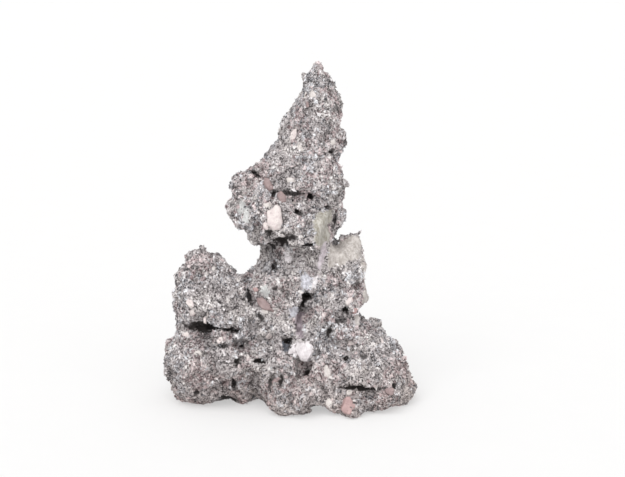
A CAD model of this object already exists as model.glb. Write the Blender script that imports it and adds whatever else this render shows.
"""The looks of an aquascaping rock: a coarse conglomerate of grey, white and pink grains.

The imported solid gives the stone's form. Its skin is remeshed finely, roughened, and cut
with the narrow crevices and pits that the photograph shows. Angular grains cover it as
real meshes, and smooth pebbles and mineral patches are set into it. A place seen in the
photograph is named by its pixel and found by a ray from the camera to the stone.
"""

import math
import random

import bmesh
import bpy
import numpy as np
from mathutils import Matrix, Vector, noise
from mathutils.bvhtree import BVHTree


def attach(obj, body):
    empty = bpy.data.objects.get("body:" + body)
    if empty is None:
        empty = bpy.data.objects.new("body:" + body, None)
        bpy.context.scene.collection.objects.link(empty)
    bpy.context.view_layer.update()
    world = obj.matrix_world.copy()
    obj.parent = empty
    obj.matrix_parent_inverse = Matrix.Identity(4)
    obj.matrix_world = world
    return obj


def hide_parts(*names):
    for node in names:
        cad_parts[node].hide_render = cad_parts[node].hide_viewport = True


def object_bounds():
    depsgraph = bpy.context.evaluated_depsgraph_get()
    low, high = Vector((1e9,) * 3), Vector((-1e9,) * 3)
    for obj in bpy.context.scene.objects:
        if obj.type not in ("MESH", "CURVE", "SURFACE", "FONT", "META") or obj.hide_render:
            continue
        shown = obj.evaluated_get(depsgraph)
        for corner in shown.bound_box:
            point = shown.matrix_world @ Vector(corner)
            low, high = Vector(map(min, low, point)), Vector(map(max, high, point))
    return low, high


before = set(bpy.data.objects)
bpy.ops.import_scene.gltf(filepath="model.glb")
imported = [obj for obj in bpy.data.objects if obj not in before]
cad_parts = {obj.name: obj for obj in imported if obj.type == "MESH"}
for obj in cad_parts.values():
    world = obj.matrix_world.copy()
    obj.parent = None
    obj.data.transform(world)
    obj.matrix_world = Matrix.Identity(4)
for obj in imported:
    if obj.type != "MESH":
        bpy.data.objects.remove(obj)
cad_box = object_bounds()

MM = 0.001
# Twice a face's area, below which the face has no direction.
NO_AREA = 1e-20
SEED = 5
# The lean of the broken blocks. Vector noise without a seed of its own follows the clock.
BLOCK_SEED = 7
noise.seed_set(BLOCK_SEED)

# The photograph's frame, and the camera that gives its view of the stone.
PHOTO_WIDTH, PHOTO_HEIGHT = 625, 477
LENS = 85.0
SENSOR = 36.0
CAMERA_DISTANCE = 1.284
CAMERA_ELEVATION = 12.0
AIM = (0.0192, 0.0, 0.1455)
CLIP_START = 0.05

# Light: how strongly the white surrounding lights the stone, the shade in which it is
# seen, and each broad, even light's turns and spread in degrees and its strength.
WORLD_LIGHT = 0.72
WORLD_SEEN = 0.985
SUNS = [
    ("key", (38, -16, 0), 50, 1.72),
    ("fill", (55, 30, 0), 70, 0.62),
]
# The floor: its size in metres, its two shades, and the light of its own that it gives.
FLOOR_SIZE = 60
FLOOR_SHADES = ((0.44, 0.439, 0.438), (0.45, 0.449, 0.448))
FLOOR_GLOW = 0.45
FLOOR_GLOW_COLOUR = (1, 0.995, 0.99)

# The skin: voxel size in millimetres, how many triangles it is thinned to, how far it
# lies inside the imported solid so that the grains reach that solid's surface, how often
# and how strongly it is smoothed at first, and the size and height of its bumps.
SKIN_VOXEL = 1.25
SKIN_TRIANGLES = 190000
SKIN_INSET = 1.2
SKIN_EASES = 3
SKIN_EASE = 0.5
SKIN_BUMPS = [(14.0, 2.6), (7.0, 2.2), (3.6, 1.2)]
# Broken blocks: size, step from one to the next, and slope of a block's face. They are
# taller than wide by BLOCK_TALLNESS, and each takes its step and lean from a spot of
# noise of its own, BLOCK_APART times as far off as the block.
SKIN_BLOCKS = [(9.0, 3.4, 0.8), (5.0, 2.6, 0.8)]
BLOCK_TALLNESS = 1.5
BLOCK_APART = 4.1

# Narrow crevices and holes seen in the photograph: pixel, half length, half width and
# depth in millimetres, the turn of the length from level in degrees, and how dark it is.
HOLLOWS = [
    ((203, 327), 15.5, 4.8, 20.0, -5, 1.0),
    ((231, 330), 10.0, 2.2, 12.0, -8, 0.9),
    ((249.5, 298), 8.5, 2.2, 8.0, -82, 0.9),
    ((257, 313), 9.5, 2.1, 8.0, -52, 0.9),
    ((257, 175), 6.5, 2.2, 14.0, -30, 0.7),
    ((281.5, 242), 5.6, 5.4, 16.0, 0, 1.0),
    ((269, 246), 6.5, 3.6, 13.0, -30, 1.0),
    ((290, 237), 5.0, 2.4, 9.0, -14, 0.9),
    ((306, 245), 8.0, 2.1, 9.0, 6, 1.0),
    ((273.5, 194), 3.8, 2.2, 8.0, 70, 0.9),
    ((294, 193.5), 9.5, 2.4, 9.0, -4, 0.9),
    ((309.5, 196), 4.4, 2.4, 9.0, -62, 1.0),
    ((327, 207.5), 3.6, 2.0, 7.0, -10, 0.8),
    ((315, 213), 4.2, 1.8, 6.0, 4, 0.8),
    ((334.5, 220), 6.5, 1.9, 8.0, 82, 0.8),
    ((307, 295.5), 4.8, 3.4, 15.0, 35, 1.0),
    ((302.5, 304.5), 8.5, 2.2, 14.0, 64, 1.0),
    ((298.5, 325), 10.5, 1.9, 4.5, 84, 0.3),
    ((287.5, 341.4), 4.2, 2.7, 11.0, 0, 1.0),
    ((286, 348), 4.2, 3.6, 5.0, 80, 0.3),
    ((309.5, 368.5), 5.4, 2.8, 6.0, -8, 0.6),
    ((307.5, 373.5), 3.4, 2.8, 12.0, 60, 1.0),
    ((345.7, 309.5), 3.4, 3.0, 11.0, 70, 1.0),
    ((328.6, 333), 5.0, 2.0, 10.0, 76, 1.0),
    ((340, 321), 6.4, 3.4, 6.0, 10, 0.7),
    ((357.8, 281), 8.0, 1.6, 6.0, 84, 0.7),
    ((362.5, 388), 16.0, 1.8, 14.0, -1, 1.0),
    ((393.5, 386), 3.0, 2.0, 7.0, 80, 1.0),
    ((259, 361), 6.4, 2.1, 8.0, -4, 1.0),
    ((265.8, 366.5), 4.0, 1.5, 6.0, 88, 0.8),
    ((271.5, 381), 7.6, 2.2, 7.0, 74, 0.8),
    ((281.4, 380), 6.2, 1.7, 8.0, 86, 1.0),
    ((240.4, 345.7), 2.8, 2.0, 6.0, 0, 1.0),
    ((236, 362), 4.0, 2.0, 7.0, 80, 0.9),
    ((234.3, 382), 8.0, 2.2, 8.0, 82, 0.9),
    ((196.5, 392), 4.0, 1.8, 7.0, 60, 0.9),
    ((346, 359), 2.8, 2.3, 7.0, 30, 1.0),
    ((363.5, 356.5), 3.6, 2.0, 6.0, -20, 0.8),
    ((296.7, 211.7), 2.8, 2.4, 8.0, -50, 1.0),
    ((300.8, 213.6), 2.4, 2.0, 6.0, 40, 0.9),
    ((308, 212), 2.6, 1.1, 5.0, 80, 0.8),
    ((269.4, 232.4), 2.6, 2.3, 7.0, 30, 1.0),
    ((261, 206), 1.8, 1.6, 4.0, 0, 0.7),
    ((273.6, 266), 3.6, 2.1, 7.0, 60, 1.0),
    ((275, 288), 2.0, 1.4, 5.0, 30, 0.9),
    ((227, 399), 9.0, 3.6, 12.0, -8, 1.0),
    ((318, 408.5), 9.0, 3.6, 14.0, -6, 1.0),
]

# Smooth mineral patches in the skin: kind, and the pixels round its outline.
PATCHES = [
    ("green", [(314, 213), (332, 210), (334, 227), (332, 240), (325, 249), (319, 252),
               (315, 243), (313, 226)]),
    ("leaf", [(240, 199), (246, 203), (250, 214), (249, 223), (244, 221), (238, 210)]),
    ("leaf", [(261, 285), (266, 284), (270, 292), (268, 299), (262, 296)]),
    ("beige", [(332, 239), (343, 240), (349, 235), (355, 237), (360, 232), (362, 245),
               (361, 258), (348, 262), (337, 269), (329, 268), (327, 255)]),
    ("beige", [(361, 257), (364, 256), (368, 274), (369, 293), (372, 302), (362, 304),
               (364, 290), (362, 272)]),
    ("white", [(296, 342), (309, 341), (313, 350), (311, 358), (307, 363), (302, 360),
               (300, 353), (293, 356), (288, 352), (290, 346)]),
    ("white", [(284, 252), (289, 254), (292, 261), (287, 263), (284, 259)]),
    ("white", [(312, 279), (317, 277), (318, 284), (313, 290), (310, 287)]),
    ("blossom", [(322, 243), (328, 243), (326, 255), (323, 268), (319, 275), (316, 268),
                 (320, 256)]),
    ("silver", [(299, 269), (304, 271), (312, 278), (311, 290), (303, 290), (302, 281)]),
    ("silver", [(288, 309), (296, 306), (300, 312), (297, 318), (290, 316)]),
    ("mauve", [(297, 311), (304, 312), (303, 326), (303, 338), (296, 338), (295, 325)]),
    ("slate", [(282, 343), (290, 344), (289, 351), (283, 352)]),
]

# Flanks with little relief: the pixels round each, the share of relief they keep, and
# over how many pixels it fades.
CALM_FLANKS = [
    [(286, 78), (306, 78), (300, 100), (280, 162), (250, 166), (250, 150)],
    [(300, 48), (332, 48), (330, 74), (304, 74)],
    [(176, 395), (176, 425), (420, 425), (420, 395)],
]
CALM_RELIEF = 0.35
CALM_EDGE = 10.0

# Pebbles seen in the photograph: kind, pixel, half sizes across, up and through in
# millimetres, how far its face stands out of the skin, and turn in degrees.
PEBBLES = [
    ("rose", (348, 406), (6.3, 7.8, 5.0), 2.4, 12),
    ("rust", (389, 391), (3.8, 6.0, 3.4), 2.0, 35),
    ("rust", (264.5, 305), (3.8, 8.8, 4.2), 2.9, 50),
    ("cream", (266, 312.5), (2.4, 4.0, 2.6), 0.9, 58),
    ("rust", (282, 198), (3.8, 4.8, 3.4), 2.2, 12),
    ("rust", (269, 185), (3.0, 6.2, 3.0), 1.8, 20),
    ("blush", (274, 219), (6.4, 10.0, 3.4), 1.4, 6),
    ("cream", (267, 206), (3.0, 2.6, 2.4), 1.2, 0),
    ("blush", (265.5, 225), (2.4, 3.8, 2.0), 1.2, 18),
    ("cream", (313, 95), (3.0, 3.2, 2.8), 1.6, 0),
    ("cream", (300, 148), (2.4, 3.4, 2.6), 1.3, 24),
    ("blush", (293, 136), (2.4, 6.0, 2.4), 1.2, -14),
    ("cream", (291, 183), (3.6, 4.6, 2.4), 1.1, 34),
    ("cream", (333, 142), (2.2, 2.6, 2.4), 1.2, 0),
    ("cream", (325.5, 371), (4.6, 6.6, 3.2), 1.2, 24),
    ("cream", (329, 403), (2.6, 4.6, 3.0), 1.6, 14),
    ("cream", (354.5, 320), (4.4, 6.4, 3.6), 2.0, 8),
    ("blush", (351.5, 342), (6.0, 3.0, 2.8), 1.6, -12),
    ("cream", (198, 353), (3.0, 2.6, 2.2), 1.2, 10),
    ("blush", (190, 303), (2.8, 3.8, 2.2), 1.0, 30),
    ("quartz", (304.5, 350), (6.6, 8.2, 4.0), 1.2, 12),
    ("quartz", (305, 358), (3.4, 4.4, 3.0), 1.0, 20),
    ("quartz", (293, 351), (4.6, 2.2, 2.6), 0.8, 32),
    ("quartz", (288, 259), (2.6, 2.4, 2.0), 1.0, 20),
]

# Pebbles strewn over the rest of the stone: how many are tried, their half lengths in
# millimetres, the shares of it that their half width and thickness have, how far their
# faces stand out, and the darkness of a hollow past which none is laid.
STREWN_PEBBLES = 70
STREWN_PEBBLE_RADII = (1.4, 3.4)
STREWN_PEBBLE_WIDTHS = (0.6, 0.95)
STREWN_PEBBLE_THICK = 0.6
STREWN_PEBBLE_OUT = 0.9
PEBBLE_SHADE = 0.1
STREWN_KINDS = ["cream", "blush", "rose", "cream", "rust", "blush", "cream"]
# A pebble's faces are flat past this share of its half thickness. How finely it is
# shaped: quartz is left angular.
PEBBLE_FLAT = 0.6
PEBBLE_FACETS = 3
QUARTZ_FACETS = 2
# How often lumps come on a pebble and how high they are, as shares of its radius.
PEBBLE_LUMPS = [(1.2, 0.5), (2.7, 0.2)]

# Grains: how many spots are tried, their least and largest half size in millimetres,
# how strongly the small ones outnumber the large, how far they lean from the skin, how
# strongly their long axes stand upright, and how uneven their lengths and corners are.
GRAINS = 84000
GRAIN_LEAST = 0.5
GRAIN_MOST = 2.2
GRAIN_SKEW = 4.0
GRAIN_LEAN = 0.4
GRAIN_UPRIGHT = 1.4
GRAIN_STRETCH = 0.45
GRAIN_JITTER = 0.28
# The least and largest share of a patch, and darkness of a hollow, past which the skin
# has no grain.
GRAIN_PATCH_SHARES = (0.25, 0.95)
GRAIN_SHADES = (0.2, 1.0)
# Of a grain's half size: the least and largest share that each axis has, how much
# longer the longest are, how thick they are, and how far they are raised at most. They
# stay clear of the floor by GRAIN_CLEAR of their largest half size.
GRAIN_AXES = (0.6, 1.2)
GRAIN_LONG = 0.7
GRAIN_THICK = 0.6
GRAIN_RAISED = 0.25
GRAIN_CLEAR = 1.2
# The shares of near black and of white grains, and of each mineral; the rest are grey.
DARK_GRAINS = 0.15
BRIGHT_GRAINS = 0.07
MINERAL_SHARES = [("pink", 0.24), ("pale", 0.24), ("blue", 0.22)]
# A grain's tone from 0, dark, to 1, pale: its middle, the size in millimetres and height
# of the lumps of stone that are alike in tone, how far single grains differ, and the
# span in which all but the near black and white ones stay.
TONE_MIDDLE = 0.46
TONE_LUMPS = [(9.0, 0.6), (3.4, 0.6)]
TONE_SPREAD = 0.5
TONE_SPAN = (0.1, 0.92)
# The size in millimetres and the weight of the zones and clusters in which a mineral is
# common, and the weight of chance.
MINERAL_ZONES = (24.0, 1.3)
MINERAL_CLUSTERS = (6.0, 0.8)
MINERAL_CHANCE = 0.8

# In pixels of the photograph: how blurred a patch's outline is, and how uneven, in lumps
# of a size in millimetres. How many millimetres behind its middle it reaches, and the
# share of relief that its face keeps.
PATCH_EDGE = 2.4
PATCH_WOBBLE = 3.0
PATCH_LUMPS = 3.4
PATCH_DEPTH = 15.0
PATCH_RELIEF = 0.2

# Small hollows strewn over the whole stone: how many, how steeply they run at most, and
# the least and largest half length, half width, depth and darkness.
STREWN_HOLLOWS = 240
STREWN_HOLLOW_RISE = 0.4
STREWN_HOLLOW_LEAST = (1.6, 1.0, 3.5, 0.3)
STREWN_HOLLOW_MOST = (5.4, 1.8, 7.0, 0.9)

# How far a hollow's lens stands out of the stone, how uneven its rim is, in lumps of a
# size, and the voxel size it is cut with.
HOLLOW_MOUTH = 1.0
HOLLOW_WOBBLE = 0.55
HOLLOW_LUMPS = 2.6
HOLLOW_VOXEL = 0.6
# The skin in a hollow is dark: within DARK_REACH of its radius, setting in over a
# DARK_BLEND-th of it, and from DARK_START millimetres below its middle, fully so
# DARK_SPAN deeper.
DARK_REACH = 1.4
DARK_BLEND = 4.0
DARK_START = 1.2
DARK_SPAN = 1.8


def turned(axis_x, axis_y, axis_z):
    """The 4x4 rotation whose columns are these axes."""
    return Matrix((axis_x, axis_y, axis_z)).transposed().to_4x4()


def make_camera():
    """The camera at the photograph's viewing angle."""
    data = bpy.data.cameras.new("camera")
    data.lens = LENS
    data.sensor_width = SENSOR
    data.clip_start = CLIP_START
    camera = bpy.data.objects.new("camera", data)
    bpy.context.scene.collection.objects.link(camera)
    rise = math.radians(CAMERA_ELEVATION)
    back = Vector((0, -math.cos(rise), math.sin(rise)))
    camera.location = Vector(AIM) + back * CAMERA_DISTANCE
    camera.rotation_euler = back.to_track_quat("Z", "Y").to_euler()
    bpy.context.scene.camera = camera
    bpy.context.view_layer.update()
    return camera


def photo_ray(camera, pixel):
    """The way from the camera through a pixel of the photograph."""
    across = (pixel[0] - PHOTO_WIDTH / 2) / PHOTO_WIDTH * SENSOR / LENS
    up = (PHOTO_HEIGHT / 2 - pixel[1]) / PHOTO_WIDTH * SENSOR / LENS
    return (camera.matrix_world.to_3x3() @ Vector((across, up, -1))).normalized()


def seen_spot(camera, tree, pixel):
    """Where the stone is met, or nearly met, through a pixel, and the way there."""
    way = photo_ray(camera, pixel)
    start = camera.matrix_world.translation
    place = tree.ray_cast(start, way)[0]
    if place is None:
        place = tree.find_nearest(start + way * CAMERA_DISTANCE)[0]
    return place, way


def photo_view(camera, places):
    """Where points fall in the photograph, and how far along the view they are."""
    into_view = np.array(camera.matrix_world.inverted())
    local = places @ into_view[:3, :3].T + into_view[:3, 3]
    far = -local[:, 2]
    scale = PHOTO_WIDTH * LENS / SENSOR / far
    x = PHOTO_WIDTH / 2 + local[:, 0] * scale
    y = PHOTO_HEIGHT / 2 - local[:, 1] * scale
    return np.stack([x, y], axis=1), far


def view_frame(camera, way, turn):
    """Axes across, up and towards the viewer at a seen spot, turned in that view."""
    right = camera.matrix_world.to_3x3() @ Vector((1, 0, 0))
    towards = -way
    up = towards.cross(right).normalized()
    right = up.cross(towards)
    spin = Matrix.Rotation(math.radians(turn), 3, towards)
    return spin @ right, spin @ up, towards


def new_object(name, mesh):
    """A new object of the scene."""
    obj = bpy.data.objects.new(name, mesh)
    bpy.context.scene.collection.objects.link(obj)
    return obj


def apply_modifiers(obj):
    """Gives an object the mesh that its modifiers make of it."""
    bpy.context.view_layer.update()
    graph = bpy.context.evaluated_depsgraph_get()
    mesh = bpy.data.meshes.new_from_object(obj.evaluated_get(graph))
    obj.modifiers.clear()
    obj.data = mesh


def tree_of(mesh):
    """A mesh's faces, ready to be met by rays and searched for the nearest."""
    return BVHTree.FromPolygons(
        [v.co for v in mesh.vertices], [p.vertices for p in mesh.polygons]
    )


def vertex_values(mesh, name):
    """A vector of every vertex, its place or its normal."""
    values = np.empty(len(mesh.vertices) * 3, np.float32)
    mesh.vertices.foreach_get(name, values)
    return values.reshape(-1, 3).astype(float)


def noise_at(places, size, shift=(0, 0, 0)):
    """Smooth noise from -1 to 1 at each place, with lumps of a size in millimetres."""
    points = places / (MM * size) + shift
    return np.array([noise.noise(Vector(point)) for point in points.tolist()])


def hollow_lenses(camera, tree):
    """For each crevice or hole, the transform from a unit ball to a lens that reaches
    into the stone, and how dark the hollow is."""
    lenses = []
    for pixel, half_length, half_width, depth, turn, dark in HOLLOWS:
        place, way = seen_spot(camera, tree, pixel)
        along, across, towards = view_frame(camera, way, turn)
        size = Matrix.Diagonal((half_length * MM, half_width * MM, depth * MM, 1))
        middle = place + towards * HOLLOW_MOUTH * MM
        matrix = Matrix.Translation(middle) @ turned(along, across, towards) @ size
        lenses.append((matrix, dark))
    dice = random.Random(SEED)
    low, high = cad_box
    for _ in range(STREWN_HOLLOWS):
        start = Vector([dice.uniform(low[i], high[i]) for i in range(3)])
        place, normal, _, _ = tree.find_nearest(start)
        limits = (1, 1, STREWN_HOLLOW_RISE)
        any_way = Vector([dice.uniform(-limit, limit) for limit in limits])
        along = normal.cross(any_way).normalized()
        spans = zip(STREWN_HOLLOW_LEAST, STREWN_HOLLOW_MOST)
        *radii, dark = [dice.uniform(least, most) for least, most in spans]
        size = Matrix.Diagonal((*[radius * MM for radius in radii], 1))
        turn = turned(along, normal.cross(along), normal)
        lenses.append((Matrix.Translation(place) @ turn @ size, dark))
    return lenses


def hollow_darkness(lenses, places):
    """How dark each point of the skin is for lying in a hollow, from 0 to 1."""
    uneven = HOLLOW_WOBBLE * noise_at(places, HOLLOW_LUMPS, (4, 4, 4))
    darkest = np.zeros(len(places))
    for lens, dark in lenses:
        into_lens = np.array(lens.inverted())
        local = places @ into_lens[:3, :3].T + into_lens[:3, 3]
        reach = np.linalg.norm(local, axis=1) + uneven
        inside = np.clip((DARK_REACH - reach) * DARK_BLEND, 0, 1)
        depth = lens.to_scale().z / MM
        below = np.clip((-local[:, 2] * depth - DARK_START) / DARK_SPAN, 0, 1)
        darkest = np.maximum(darkest, dark * inside * below)
    return darkest


def carve_hollows(rock, lenses):
    """Cuts every crevice and hole, uneven all round, into the stone."""
    bm = bmesh.new()
    for lens, _ in lenses:
        for vertex in bmesh.ops.create_icosphere(bm, subdivisions=3, radius=1)["verts"]:
            place = lens @ vertex.co
            uneven = HOLLOW_WOBBLE * noise.noise(place / (MM * HOLLOW_LUMPS))
            vertex.co = lens @ (vertex.co * (1 + uneven))
    mesh = bpy.data.meshes.new("hollows")
    bm.to_mesh(mesh)
    bm.free()
    cutter = new_object("hollows", mesh)
    remesh(cutter, HOLLOW_VOXEL)
    cut = rock.modifiers.new("Hollows", "BOOLEAN")
    cut.operation = "DIFFERENCE"
    cut.object = cutter
    apply_modifiers(rock)
    bpy.data.objects.remove(cutter)


def block_rise(places):
    """The height of the tilted broken blocks that each place lies in, in millimetres."""
    rise = np.zeros(len(places))
    for size, step, slope in SKIN_BLOCKS:
        points = places / (MM * size) / (1, 1, BLOCK_TALLNESS)
        for index, point in enumerate(points.tolist()):
            centre = noise.voronoi(Vector(point))[1][0]
            spot = centre * BLOCK_APART
            lean = noise.noise_vector(spot) * slope
            rise[index] += step * noise.noise(spot) + lean.dot(Vector(point) - centre) * size
    return rise


def inside_outline(pixels, outline):
    """How many pixels each point lies inside an outline, less than none outside it."""
    corners = np.array(outline, float)
    inside = np.zeros(len(pixels), bool)
    nearest = np.full(len(pixels), np.inf)
    for start, end in zip(corners, np.roll(corners, -1, axis=0)):
        run = end - start
        along = np.clip((pixels - start) @ run / (run @ run), 0, 1)
        gaps = np.linalg.norm(pixels - start - along[:, None] * run, axis=1)
        nearest = np.minimum(nearest, gaps)
        spans = (start[1] > pixels[:, 1]) != (end[1] > pixels[:, 1])
        crossing = start[0] + (pixels[:, 1] - start[1]) * run[0] / (run[1] or 1.0)
        inside ^= spans & (pixels[:, 0] < crossing)
    return np.where(inside, nearest, -nearest)


def patch_shares(camera, tree, places):
    """How much of each patch kind every place has, from 0 to 1."""
    pixels, far = photo_view(camera, places)
    wobble = PATCH_WOBBLE * noise_at(places, PATCH_LUMPS)
    shares = {}
    for kind, outline in PATCHES:
        middle = seen_spot(camera, tree, np.mean(outline, axis=0))[0]
        depth = photo_view(camera, np.array([middle]))[1][0]
        behind = PATCH_DEPTH - np.abs(far - depth) / MM
        inside = np.minimum(inside_outline(pixels, outline), behind)
        share = np.clip(0.5 + (inside + wobble) / PATCH_EDGE, 0, 1)
        shares[kind] = np.maximum(share, shares.get(kind, 0))
    return shares


def roughen_skin(mesh, shares, camera):
    """Moves the skin by noise and broken blocks, less on smooth patches and flanks."""
    places = vertex_values(mesh, "co")
    pixels = photo_view(camera, places)[0]
    calm = [inside_outline(pixels, outline) for outline in CALM_FLANKS]
    calm = np.clip(0.5 + np.max(calm, axis=0) / CALM_EDGE, 0, 1)
    bare = np.max(list(shares.values()), axis=0)
    rise = sum(height * noise_at(places, size) for size, height in SKIN_BUMPS)
    rise = (rise + block_rise(places)) * (1 - (1 - PATCH_RELIEF) * bare)
    rise *= 1 - (1 - CALM_RELIEF) * calm
    rise -= SKIN_INSET * (1 - bare)
    places += vertex_values(mesh, "normal") * rise[:, None] * MM
    mesh.vertices.foreach_set("co", places.astype(np.float32).ravel())


def make_skin(camera, tree):
    """The stone's finely shaped skin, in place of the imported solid, and for each of its
    vertices the share of every patch and the darkness of the hollow it lies in."""
    rock = new_object("rock_skin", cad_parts["rock"].data.copy())
    lenses = hollow_lenses(camera, tree)
    remesh(rock, SKIN_VOXEL)
    ease = rock.modifiers.new("Ease", "SMOOTH")
    ease.factor = SKIN_EASE
    ease.iterations = SKIN_EASES
    apply_modifiers(rock)
    shares = patch_shares(camera, tree, vertex_values(rock.data, "co"))
    roughen_skin(rock.data, shares, camera)
    remesh(rock, SKIN_VOXEL)
    carve_hollows(rock, lenses)
    remesh(rock, SKIN_VOXEL)
    drop_crumbs(rock.data)
    thin_out(rock, SKIN_TRIANGLES)
    places = np.clip(vertex_values(rock.data, "co"), *cad_box)
    rock.data.vertices.foreach_set("co", places.astype(np.float32).ravel())
    layers = patch_shares(camera, tree, places)
    layers["pit"] = hollow_darkness(lenses, places)
    for name, values in layers.items():
        layer = rock.data.attributes.new(name, "FLOAT", "POINT")
        layer.data.foreach_set("value", values.astype(np.float32))
    rock.data.shade_smooth()
    return rock, layers


def remesh(obj, voxel):
    """Gives an object an even, clean skin of small faces."""
    fine = obj.modifiers.new("Fine", "REMESH")
    fine.mode = "VOXEL"
    fine.voxel_size = voxel * MM
    apply_modifiers(obj)


def thin_out(obj, triangles):
    """Merges an object's flattest faces until about this many triangles are left."""
    obj.data.calc_loop_triangles()
    thin = obj.modifiers.new("Thin", "DECIMATE")
    thin.ratio = triangles / len(obj.data.loop_triangles)
    apply_modifiers(obj)


def drop_crumbs(mesh):
    """Keeps the largest connected body of a mesh."""
    bm = bmesh.new()
    bm.from_mesh(mesh)
    left = set(bm.verts)
    bodies = []
    while left:
        body, edge = set(), [left.pop()]
        while edge:
            vertex = edge.pop()
            body.add(vertex)
            for link in vertex.link_edges:
                other = link.other_vert(vertex)
                if other in left:
                    left.discard(other)
                    edge.append(other)
        bodies.append(body)
    bodies.sort(key=len)
    crumbs = [vertex for body in bodies[:-1] for vertex in body]
    bmesh.ops.delete(bm, geom=crumbs, context="VERTS")
    bm.to_mesh(mesh)
    bm.free()


def patch_cover(layers):
    """How much of any patch each vertex of the skin has, from 0 to 1."""
    return np.max([share for kind, share in layers.items() if kind != "pit"], axis=0)


def skin_samples(mesh, layers, count, dice):
    """Evenly spread spots on the skin outside the smooth patches: places, normals and
    the darkness of the hollow that each lies in."""
    mesh.calc_loop_triangles()
    corners = np.empty(len(mesh.loop_triangles) * 3, np.int32)
    mesh.loop_triangles.foreach_get("vertices", corners)
    corners = corners.reshape(-1, 3)
    places = vertex_values(mesh, "co")
    a, b, c = (places[corners[:, i]] for i in range(3))
    cross = np.cross(b - a, c - a)
    area = np.linalg.norm(cross, axis=1) / 2
    total = np.cumsum(area)
    picks = (np.arange(count) + dice.random(count)) / count * total[-1]
    chosen = np.clip(np.searchsorted(total, picks), 0, len(area) - 1)
    u, v = dice.random(count), dice.random(count)
    over = u + v > 1
    u[over], v[over] = 1 - u[over], 1 - v[over]
    spots = a[chosen] + u[:, None] * (b - a)[chosen] + v[:, None] * (c - a)[chosen]
    normals = cross[chosen] / np.maximum(2 * area[chosen, None], NO_AREA)
    patched = patch_cover(layers)
    shades = layers["pit"][corners[chosen]].mean(axis=1)
    keep = patched[corners[chosen, 0]] < dice.uniform(*GRAIN_PATCH_SHARES, count)
    keep &= shades < dice.uniform(*GRAIN_SHADES, count)
    return spots[keep], normals[keep], shades[keep]


def random_frames(normals, dice):
    """Rotations that set each grain's short axis near its normal, and most of the long
    ones near upright."""
    leaning = normals + GRAIN_LEAN * dice.normal(size=normals.shape)
    z = leaning / np.linalg.norm(leaning, axis=1, keepdims=True)
    y = np.cross(z, (0, 0, GRAIN_UPRIGHT) + dice.normal(size=normals.shape))
    y /= np.linalg.norm(y, axis=1, keepdims=True)
    x = np.cross(y, z)
    return np.stack([x, y, z], axis=2)


# A grain is a jittered octahedron: a top, four points round its middle and a bottom.
GRAIN_POINTS = np.array(
    [(0, 0, 1), (1, 0, 0), (0, 1, 0), (-1, 0, 0), (0, -1, 0), (0, 0, -1)], float
)
GRAIN_FACES = np.array(
    [(0, 1, 2), (0, 2, 3), (0, 3, 4), (0, 4, 1), (5, 2, 1), (5, 3, 2), (5, 4, 3), (5, 1, 4)]
)
# The same octahedron unfolded on a square, with its bottom at all four corners, and the
# margin round each grain's square on the map.
MAP_MARGIN = 0.04
GRAIN_MAP = np.array(
    [
        [(0.5, 0.5), (1, 0.5), (0.5, 1)],
        [(0.5, 0.5), (0.5, 1), (0, 0.5)],
        [(0.5, 0.5), (0, 0.5), (0.5, 0)],
        [(0.5, 0.5), (0.5, 0), (1, 0.5)],
        [(1, 1), (0.5, 1), (1, 0.5)],
        [(0, 1), (0, 0.5), (0.5, 1)],
        [(0, 0), (0.5, 0), (0, 0.5)],
        [(1, 0), (1, 0.5), (0.5, 0)],
    ]
)


def grain_mesh(name, places, frames, sizes, marks, dice):
    """One mesh of closed angular grains, each with its own cell of the map and marks."""
    count = len(places)
    jitter = 1 + GRAIN_STRETCH * (dice.random((count, 6, 1)) - 0.5)
    points = GRAIN_POINTS[None] * jitter + GRAIN_JITTER * (dice.random((count, 6, 3)) - 0.5)
    points = points * sizes[:, None, :]
    points = places[:, None, :] + np.einsum("nij,nkj->nki", frames, points)
    faces = (GRAIN_FACES[None] + 6 * np.arange(count)[:, None, None]).reshape(-1, 3)
    points[:, :, 2] = np.maximum(points[:, :, 2], 0.0)
    mesh = bpy.data.meshes.new(name)
    mesh.from_pydata(points.reshape(-1, 3).tolist(), [], faces.tolist())
    side = math.ceil(math.sqrt(count))
    cells = np.stack([np.arange(count) % side, np.arange(count) // side], axis=1)
    square = MAP_MARGIN + (1 - 2 * MAP_MARGIN) * GRAIN_MAP
    corners = (cells[:, None, None, :] + square[None]) / side
    # The export keeps a map of this name.
    layer = mesh.uv_layers.new(name="OFBake")
    layer.data.foreach_set("uv", corners.astype(np.float32).ravel())
    for mark, values in marks.items():
        each_face = np.repeat(values, len(GRAIN_FACES)).astype(np.float32)
        mesh.attributes.new(mark, "FLOAT", "FACE").data.foreach_set("value", each_face)
    return mesh


def grain_tones(places, dice):
    """Each grain's tone from 0, dark, to 1, pale: alike near by, with a few odd ones."""
    count = len(places)
    darkest, palest = TONE_SPAN
    tones = np.full(count, TONE_MIDDLE)
    for (size, height), shift in zip(TONE_LUMPS, ((7, 2, 5), (1, 9, 3))):
        tones += height * noise_at(places, size, shift)
    tones += TONE_SPREAD * (dice.random(count) - 0.5)
    tones = np.clip(tones, darkest, palest)
    odd = dice.random(count)
    tones = np.where(odd < DARK_GRAINS, dice.uniform(0, darkest, count), tones)
    return np.where(odd > 1 - BRIGHT_GRAINS, dice.uniform(palest, 1, count), tones)


def take_share(scores, free, share):
    """The given share of all grains: the free ones with the highest scores."""
    ranked = np.sort(scores[free])[::-1]
    least = ranked[min(int(share * len(scores)), len(ranked) - 1)]
    return free & (scores > least)


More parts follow.
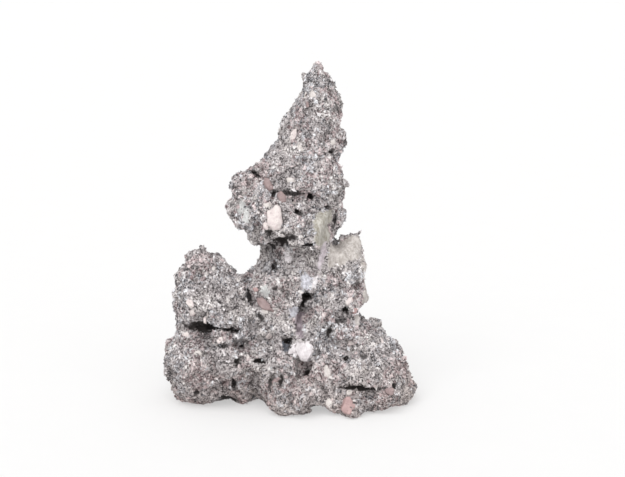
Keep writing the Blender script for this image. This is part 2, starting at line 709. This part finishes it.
def grain_kinds(places, dice):
    """Which grains are of each mineral: each is commoner in some parts of the stone."""
    free = np.ones(len(places), bool)
    kinds = {}
    for number, (kind, share) in enumerate(MINERAL_SHARES):
        scores = MINERAL_CHANCE * dice.random(len(places))
        for (size, weight), shift in (
            (MINERAL_ZONES, (3, 1 + number, 7)),
            (MINERAL_CLUSTERS, (9 + number, 4, 2)),
        ):
            scores += weight * noise_at(places, size, shift)
        kinds[kind] = take_share(scores, free, share)
        free &= ~kinds[kind]
    kinds["grey"] = free
    return kinds


def make_grains(skin, layers):
    """The angular grains all over the stone, in one piece for each mineral."""
    dice = np.random.default_rng(SEED)
    places, normals, shades = skin_samples(skin.data, layers, GRAINS, dice)
    half = GRAIN_LEAST + (GRAIN_MOST - GRAIN_LEAST) * dice.random(len(places)) ** GRAIN_SKEW
    sizes = half[:, None] * dice.uniform(*GRAIN_AXES, (len(places), 3))
    sizes[:, 0] *= 1 + GRAIN_LONG * dice.random(len(places)) ** 2
    sizes[:, 2] *= GRAIN_THICK
    sizes *= MM
    raised = sizes[:, 2] * GRAIN_RAISED * dice.random(len(places))
    places = places + normals * raised[:, None]
    clear = places[:, 2] > GRAIN_CLEAR * sizes.max(axis=1)
    places, normals, sizes, shades = (v[clear] for v in (places, normals, sizes, shades))
    frames = random_frames(normals, dice)
    tones = grain_tones(places, dice)
    made = []
    for kind, chosen in grain_kinds(places, dice).items():
        marks = {"tint": tones[chosen], "shade": shades[chosen]}
        shape = (places[chosen], frames[chosen], sizes[chosen])
        obj = new_object(f"{kind}_grains", grain_mesh(f"{kind}_grains", *shape, marks, dice))
        obj.data.materials.append(grain_material(kind))
        made.append(obj)
    return made


def draw_pebble(bm, place, axes, radii, facets, dice):
    """A worn pebble with flattened faces and an uneven outline."""
    matrix = (
        Matrix.Translation(place)
        @ turned(*axes)
        @ Matrix.Diagonal((radii[0] * MM, radii[1] * MM, radii[2] * MM, 1))
    )
    new = bmesh.ops.create_icosphere(bm, subdivisions=facets, radius=1)["verts"]
    shift = Vector([dice.uniform(-50, 50) for _ in range(3)])
    for vertex in new:
        way = vertex.co.normalized()
        lumps = [height * noise.noise(way * often + shift) for often, height in PEBBLE_LUMPS]
        shape = way * (1 + sum(lumps))
        shape.z = min(PEBBLE_FLAT, max(-PEBBLE_FLAT, shape.z))
        vertex.co = matrix @ shape
        vertex.co.z = max(vertex.co.z, 0.0)


def make_pebbles(camera, skin, layers):
    """The pebbles and the quartz lump, in one piece for each kind."""
    dice = random.Random(SEED)
    tree = tree_of(skin.data)
    meshes = {kind: bmesh.new() for kind in PEBBLE_COLOURS}
    for kind, pixel, radii, out, turn in PEBBLES:
        place, way = seen_spot(camera, tree, pixel)
        axes = view_frame(camera, way, turn)
        middle = place + axes[2] * (out - PEBBLE_FLAT * radii[2]) * MM
        facets = QUARTZ_FACETS if kind == "quartz" else PEBBLE_FACETS
        draw_pebble(meshes[kind], middle, axes, radii, facets, dice)
    patched = patch_cover(layers)
    for _ in range(STREWN_PEBBLES):
        vertex = skin.data.vertices[dice.randrange(len(patched))]
        if patched[vertex.index] > 0 or layers["pit"][vertex.index] > PEBBLE_SHADE:
            continue
        normal = vertex.normal
        along = normal.cross(Vector([dice.uniform(-1, 1) for _ in range(3)])).normalized()
        axes = (along, normal.cross(along), normal)
        radius = dice.uniform(*STREWN_PEBBLE_RADII)
        width = radius * dice.uniform(*STREWN_PEBBLE_WIDTHS)
        radii = (radius, width, radius * STREWN_PEBBLE_THICK)
        middle = vertex.co + normal * (STREWN_PEBBLE_OUT - PEBBLE_FLAT * radii[2]) * MM
        bm = meshes[dice.choice(STREWN_KINDS)]
        draw_pebble(bm, middle, axes, radii, PEBBLE_FACETS, dice)
    made = []
    for kind, bm in meshes.items():
        bmesh.ops.recalc_face_normals(bm, faces=bm.faces)
        mesh = bpy.data.meshes.new(f"{kind}_pebbles")
        bm.to_mesh(mesh)
        bm.free()
        if kind != "quartz":
            mesh.shade_smooth()
        obj = new_object(f"{kind}_pebbles", mesh)
        obj.data.materials.append(pebble_material(kind))
        made.append(obj)
    return made


# A noise node's values lie nearly all between these.
NOISE_SPAN = (0.3, 0.7)


class Nodes:
    """A material's nodes, each added with its settings and its inputs by name."""

    def __init__(self, name):
        self.material = bpy.data.materials.new(name)
        self.material.use_nodes = True
        self.tree = self.material.node_tree
        self.shader = self.tree.nodes["Principled BSDF"]

    def add(self, kind, settings=None, **inputs):
        node = self.tree.nodes.new(kind)
        for name, value in (settings or {}).items():
            setattr(node, name, value)
        for name, value in inputs.items():
            self.put(node.inputs[name], value)
        return node

    def put(self, socket, value):
        if isinstance(value, bpy.types.NodeSocket):
            self.tree.links.new(value, socket)
        else:
            socket.default_value = value

    def position(self, stretch=1.0):
        """A point of the stone, with the pattern drawn out along the height."""
        place = self.add("ShaderNodeTexCoord").outputs["Object"]
        scale = (1, 1, 1 / stretch)
        return self.add("ShaderNodeMapping", Vector=place, Scale=scale).outputs["Vector"]

    def attribute(self, name):
        return self.add("ShaderNodeAttribute", {"attribute_name": name}).outputs["Fac"]

    def noise(self, size, detail=2.0, roughness=0.5, stretch=1.0):
        node = self.add(
            "ShaderNodeTexNoise",
            Vector=self.position(stretch),
            Scale=1 / (size * MM),
            Detail=detail,
            Roughness=roughness,
        )
        return node.outputs["Fac"]

    def cells(self, size, feature="F1", stretch=1.0):
        return self.add(
            "ShaderNodeTexVoronoi",
            {"feature": feature},
            Vector=self.position(stretch),
            Scale=1 / (size * MM),
        )

    def math(self, operation, first, second):
        node = self.add("ShaderNodeMath", {"operation": operation})
        self.put(node.inputs[0], first)
        self.put(node.inputs[1], second)
        return node.outputs[0]

    def ramp(self, factor, stops):
        node = self.add("ShaderNodeValToRGB", Fac=factor)
        elements = node.color_ramp.elements
        while len(elements) < len(stops):
            elements.new(0.5)
        for element, (position, colour) in zip(elements, stops):
            element.position = position
            element.color = (*colour, 1)
        return node.outputs["Color"]

    def mix(self, factor, low, high, blend="MIX"):
        node = self.add("ShaderNodeMix", {"data_type": "RGBA", "blend_type": blend})
        self.put(node.inputs[0], factor)
        for socket, value in ((node.inputs[6], low), (node.inputs[7], high)):
            self.put(socket, (*value, 1) if isinstance(value, tuple) else value)
        return node.outputs[2]

    def cell_value(self, cells):
        """A random value for each cell, the same all over it."""
        return self.add("ShaderNodeSeparateColor", Color=cells.outputs["Color"]).outputs[0]

    def swing(self, size, height, detail=2.0, roughness=0.5):
        """Noise that swings by a height either way about zero."""
        return self.span(self.noise(size, detail, roughness), -height, height, *NOISE_SPAN)

    def span(self, factor, low, high, start=0.0, end=1.0):
        """A factor from start to end, stretched to run from low to high."""
        node = self.add("ShaderNodeMapRange", Value=factor)
        self.put(node.inputs["From Min"], start)
        self.put(node.inputs["From Max"], end)
        self.put(node.inputs["To Min"], low)
        self.put(node.inputs["To Max"], high)
        return node.outputs["Result"]

    def bump(self, height, depth, normal=None):
        node = self.add("ShaderNodeBump", Height=height, Distance=depth * MM)
        if normal is not None:
            self.put(node.inputs["Normal"], normal)
        return node.outputs["Normal"]

    def finish(self, colour, roughness, normal, specular=0.5):
        self.put(self.shader.inputs["Base Color"], colour)
        self.put(self.shader.inputs["Roughness"], roughness)
        self.put(self.shader.inputs["Normal"], normal)
        self.shader.inputs["Specular IOR Level"].default_value = specular
        return self.material


# Each mineral's colours, from its dark to its pale grains, and its roughness span.
GRAIN_COLOURS = {
    "pale": [
        (0.00, (0.10, 0.09, 0.086)),
        (0.14, (0.40, 0.368, 0.36)),
        (0.50, (0.59, 0.547, 0.534)),
        (0.88, (0.74, 0.70, 0.69)),
        (1.00, (0.92, 0.90, 0.89)),
    ],
    "grey": [
        (0.00, (0.035, 0.03, 0.031)),
        (0.14, (0.25, 0.226, 0.226)),
        (0.50, (0.46, 0.42, 0.42)),
        (0.88, (0.63, 0.59, 0.59)),
        (1.00, (0.88, 0.86, 0.87)),
    ],
    "blue": [
        (0.00, (0.035, 0.034, 0.038)),
        (0.14, (0.24, 0.232, 0.242)),
        (0.50, (0.455, 0.44, 0.456)),
        (0.88, (0.62, 0.62, 0.645)),
        (1.00, (0.88, 0.89, 0.92)),
    ],
    "pink": [
        (0.00, (0.10, 0.068, 0.068)),
        (0.16, (0.33, 0.262, 0.263)),
        (0.60, (0.55, 0.455, 0.456)),
        (1.00, (0.76, 0.68, 0.675)),
    ],
}
GRAIN_ROUGHNESS = {
    "pale": (0.35, 0.75),
    "grey": (0.25, 0.65),
    "blue": (0.2, 0.55),
    "pink": (0.4, 0.8),
}

# The bed between the grains, from its dark to its pale crystals.
BED_COLOURS = [
    (0.0, (0.05, 0.044, 0.044)),
    (0.2, (0.24, 0.216, 0.216)),
    (0.6, (0.43, 0.394, 0.394)),
    (1.0, (0.66, 0.62, 0.615)),
]

PEBBLE_COLOURS = {
    "rose": ((0.36, 0.235, 0.23), (0.50, 0.35, 0.335)),
    "rust": ((0.25, 0.18, 0.178), (0.37, 0.28, 0.272)),
    "blush": ((0.58, 0.49, 0.485), (0.78, 0.72, 0.69)),
    "cream": ((0.50, 0.46, 0.43), (0.74, 0.69, 0.67)),
    "quartz": ((0.50, 0.455, 0.465), (0.76, 0.72, 0.73)),
}

PATCH_COLOURS = {
    "green": ((0.25, 0.225, 0.18), (0.58, 0.555, 0.51)),
    "leaf": ((0.42, 0.42, 0.41), (0.70, 0.70, 0.69)),
    "beige": ((0.36, 0.32, 0.29), (0.66, 0.62, 0.59)),
    "white": ((0.60, 0.55, 0.56), (0.90, 0.87, 0.88)),
    "blossom": ((0.46, 0.40, 0.43), (0.78, 0.71, 0.75)),
    "silver": ((0.30, 0.29, 0.32), (0.74, 0.74, 0.80)),
    "mauve": ((0.18, 0.145, 0.16), (0.42, 0.36, 0.39)),
    "slate": ((0.05, 0.05, 0.06), (0.16, 0.17, 0.20)),
}
# How much longer than wide the streaks of a patch are, how much a patch's rim frays, and
# the roughness of the bed and of a patch.
PATCH_STREAK = 3.0
PATCH_FRAY = 0.45
SKIN_ROUGHNESS = (0.85, 0.42)
# The dark of a hollow's depth.
HOLLOW_COLOUR = (0.013, 0.009, 0.008)
# The foot is soiled: how far up in metres, by what share of that this varies, how
# strongly, and its tinge.
SOIL_HEIGHT = 0.05
SOIL_UNEVEN = 0.3
SOIL = 0.8
SOIL_COLOUR = (0.70, 0.645, 0.62)
# Fine crystals, mottling, the gaps between crystals and the bed's clusters of one tone:
# the size of each in millimetres, and by how much it changes a tone.
CRYSTALS = (0.8, 0.34)
MOTTLING = (0.6, 0.2)
GAPS = (2.3, 0.4)
CLUSTERS = (4.2, 0.4)
# The width of a gap as a share of its cell, and the span by which noise narrows it.
GAP_WIDTH = 0.07
GAP_BREAKS = (-0.1, 0.2)
# The size of the bed's grit in millimetres.
GRIT = 1.2
# A pebble's specks: the span of noise over which they begin, and how dark they are.
SPECKS = (0.62, 0.72)
SPECK_SHADE = 0.45


def chips(nodes, tone):
    """A tone broken up by fine crystals and by thin dark gaps between them."""
    size, change = CRYSTALS
    crystals = nodes.cell_value(nodes.cells(size, stretch=1.4))
    mixed = nodes.math("ADD", tone, nodes.span(crystals, -change, change))
    mixed = nodes.math("ADD", mixed, nodes.swing(*MOTTLING, 3.0, 0.6))
    size, change = GAPS
    edges = nodes.cells(size, "DISTANCE_TO_EDGE", stretch=1.8).outputs["Distance"]
    uneven = nodes.span(nodes.noise(2.0, 2.0, 0.6), *GAP_BREAKS, *NOISE_SPAN)
    gap = nodes.span(nodes.math("ADD", edges, uneven), 1, 0, 0, GAP_WIDTH)
    return nodes.math("SUBTRACT", mixed, nodes.math("MULTIPLY", gap, change))


def soiled(nodes, colour):
    """A colour that is darker and browner towards the stone's foot."""
    height = nodes.add("ShaderNodeSeparateXYZ", Vector=nodes.position()).outputs["Z"]
    uneven = nodes.swing(14, SOIL_UNEVEN * SOIL_HEIGHT)
    low = nodes.span(nodes.math("ADD", height, uneven), SOIL, 0, 0, SOIL_HEIGHT)
    return nodes.mix(low, colour, SOIL_COLOUR, "MULTIPLY")


def grain_material(kind):
    """A mineral's grains: each has its own tint, with fine mottling and small chips."""
    nodes = Nodes(f"{kind}_mineral")
    colour = nodes.ramp(chips(nodes, nodes.attribute("tint")), GRAIN_COLOURS[kind])
    colour = soiled(nodes, colour)
    colour = nodes.mix(nodes.attribute("shade"), colour, HOLLOW_COLOUR)
    roughness = nodes.span(nodes.noise(2.6, 1.0), *GRAIN_ROUGHNESS[kind], 0.35, 0.65)
    normal = nodes.bump(nodes.noise(0.45, 2.0, 0.6), 0.12)
    return nodes.finish(colour, roughness, normal)


def pebble_material(kind):
    """A pebble: mottled, with darker specks and a worn, slightly rough face."""
    nodes = Nodes(f"{kind}_pebble")
    dark, light = PEBBLE_COLOURS[kind]
    mottle = nodes.span(nodes.noise(3.2, 4.0, 0.6), 0, 1, *NOISE_SPAN)
    specks = nodes.span(nodes.noise(0.9, 2.0, 0.7), 0, 1, *SPECKS)
    speck_colour = tuple(SPECK_SHADE * part for part in dark)
    colour = nodes.mix(specks, nodes.mix(mottle, dark, light), speck_colour)
    roughness = nodes.span(nodes.noise(1.6, 2.0), 0.45, 0.8, *NOISE_SPAN)
    normal = nodes.bump(nodes.noise(0.8, 4.0, 0.6), 0.25)
    return nodes.finish(colour, roughness, normal)


def patch_colour(nodes, dark, light):
    """A smooth patch's colour, streaked along the stone's height."""
    streak = nodes.noise(2.2, 4.0, 0.6, PATCH_STREAK)
    tone = nodes.math("ADD", streak, nodes.swing(0.7, 0.1))
    return nodes.mix(nodes.span(tone, 0, 1, 0.32, 0.68), dark, light)


def skin_material():
    """The bed between the grains, and the smooth mineral patches laid over it."""
    nodes = Nodes("stone_bed")
    grit = nodes.cells(GRIT)
    tone = nodes.math("ADD", nodes.cell_value(grit), nodes.swing(*CLUSTERS))
    bed = nodes.ramp(chips(nodes, tone), BED_COLOURS)
    colour = nodes.mix(nodes.attribute("pit"), soiled(nodes, bed), HOLLOW_COLOUR)
    smooth = 0.0
    for kind, (dark, light) in PATCH_COLOURS.items():
        edge = nodes.math("ADD", nodes.attribute(kind), nodes.swing(1.6, PATCH_FRAY, 3.0, 0.6))
        cover = nodes.span(edge, 0, 1, 0.4, 0.6)
        colour = nodes.mix(cover, colour, patch_colour(nodes, dark, light))
        smooth = nodes.math("MAXIMUM", smooth, cover)
    roughness = nodes.span(smooth, *SKIN_ROUGHNESS)
    rough_bump = nodes.bump(grit.outputs["Distance"], 0.5)
    normal = nodes.bump(nodes.noise(1.1, 3.0, 0.6), 0.25, normal=rough_bump)
    return nodes.finish(colour, roughness, normal)


def make_floor():
    """A plain pale floor card that gives a little light of its own."""
    bpy.ops.mesh.primitive_plane_add(size=FLOOR_SIZE)
    floor = bpy.context.object
    floor.name = "floor"
    nodes = Nodes("floor_card")
    shade = nodes.mix(nodes.noise(40, 2.0), *FLOOR_SHADES)
    nodes.put(nodes.shader.inputs["Emission Color"], (*FLOOR_GLOW_COLOUR, 1))
    nodes.put(nodes.shader.inputs["Emission Strength"], FLOOR_GLOW)
    nodes.finish(shade, 0.9, nodes.bump(nodes.noise(0.6), 0.02), 0.1)
    floor.data.materials.append(nodes.material)


def make_world():
    """A white surrounding, which is seen paler than the light that it gives."""
    world = bpy.data.worlds.new("studio")
    bpy.context.scene.world = world
    world.use_nodes = True
    tree = world.node_tree
    glow = tree.nodes["Background"]
    glow.inputs["Color"].default_value = (1, 1, 1, 1)
    glow.inputs["Strength"].default_value = WORLD_LIGHT
    seen = tree.nodes.new("ShaderNodeBackground")
    seen.inputs["Color"].default_value = (WORLD_SEEN, WORLD_SEEN, WORLD_SEEN, 1)
    path = tree.nodes.new("ShaderNodeLightPath")
    choose = tree.nodes.new("ShaderNodeMixShader")
    tree.links.new(path.outputs["Is Camera Ray"], choose.inputs["Fac"])
    tree.links.new(glow.outputs["Background"], choose.inputs[1])
    tree.links.new(seen.outputs["Background"], choose.inputs[2])
    tree.links.new(choose.outputs["Shader"], tree.nodes["World Output"].inputs["Surface"])


def make_lights():
    """Broad, even studio lights."""
    for name, angles, spread, strength in SUNS:
        data = bpy.data.lights.new(name, "SUN")
        data.energy = strength
        data.angle = math.radians(spread)
        light = bpy.data.objects.new(name, data)
        light.rotation_euler = [math.radians(angle) for angle in angles]
        bpy.context.scene.collection.objects.link(light)


camera = make_camera()
solid_tree = tree_of(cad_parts["rock"].data)
skin, layers = make_skin(camera, solid_tree)
skin.data.materials.clear()
skin.data.materials.append(skin_material())
pieces = [skin, *make_grains(skin, layers), *make_pebbles(camera, skin, layers)]
for piece in pieces:
    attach(piece, "root")
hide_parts("rock")
make_floor()
make_world()
make_lights()
bpy.context.scene.view_settings.view_transform = "Standard"
